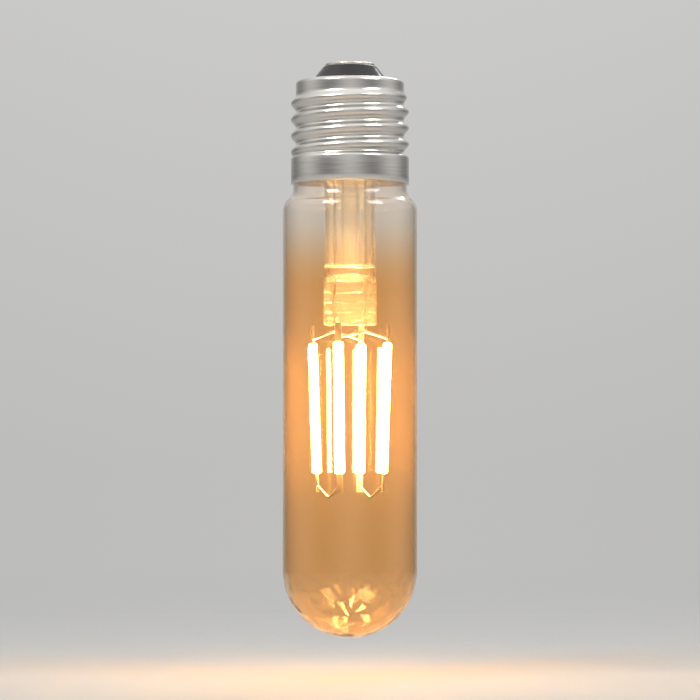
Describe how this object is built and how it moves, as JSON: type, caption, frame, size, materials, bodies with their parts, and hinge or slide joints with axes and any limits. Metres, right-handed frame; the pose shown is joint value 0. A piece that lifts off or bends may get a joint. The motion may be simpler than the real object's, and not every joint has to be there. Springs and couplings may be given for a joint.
{
  "type": "led filament bulb",
  "caption": "Tubular amber LED filament bulb with a round end, lit stick filaments on a glass stem and an E27 screw cap.",
  "frame": {"origin": "middle of the centre contact's outer face, on the bulb's axis", "axes": "+Z along the axis, out of the cap, as the bulb hangs; the viewer of the picture stands on the -Y side"},
  "size_m": [0.03, 0.03, 0.128],
  "materials": {
    "amber_glass": "clear amber",
    "clear_glass": "clear",
    "nickel": "nickel plated",
    "black_glass": "gloss",
    "tinned_brass": "tinned",
    "wire": "drawn wire",
    "phosphor": "lit",
    "tab_metal": "satin",
    "board": "satin",
    "capacitor_can": "satin",
    "black_package": "matt",
    "resistor_body": "gloss"
  },
  "bodies": {
    "root": {"glass_envelope": "amber_glass", "glass_stem": "clear_glass", "exhaust_tube": "clear_glass", "cap_shell": "nickel", "cap_insulator": "black_glass", "centre_contact": "tinned_brass", "lead_in_wire_a": "wire", "lead_in_wire_b": "wire", "upper_bridge_a": "wire", "upper_bridge_b": "wire", "lower_bridge_a": "wire", "lower_bridge_b": "wire", "live_wire": "wire", "neutral_wire": "wire", "filament_1": "phosphor", "filament_2": "phosphor", "filament_3": "phosphor", "filament_4": "phosphor", "filament_1_upper_tab": "tab_metal", "filament_1_lower_tab": "tab_metal", "filament_2_upper_tab": "tab_metal", "filament_2_lower_tab": "tab_metal", "filament_3_upper_tab": "tab_metal", "filament_3_lower_tab": "tab_metal", "filament_4_upper_tab": "tab_metal", "filament_4_lower_tab": "tab_metal", "driver_board": "board", "smoothing_capacitor": "capacitor_can", "bridge_rectifier": "black_package", "driver_chip": "black_package", "fuse_resistor": "resistor_body"}
  },
  "joints": []
}
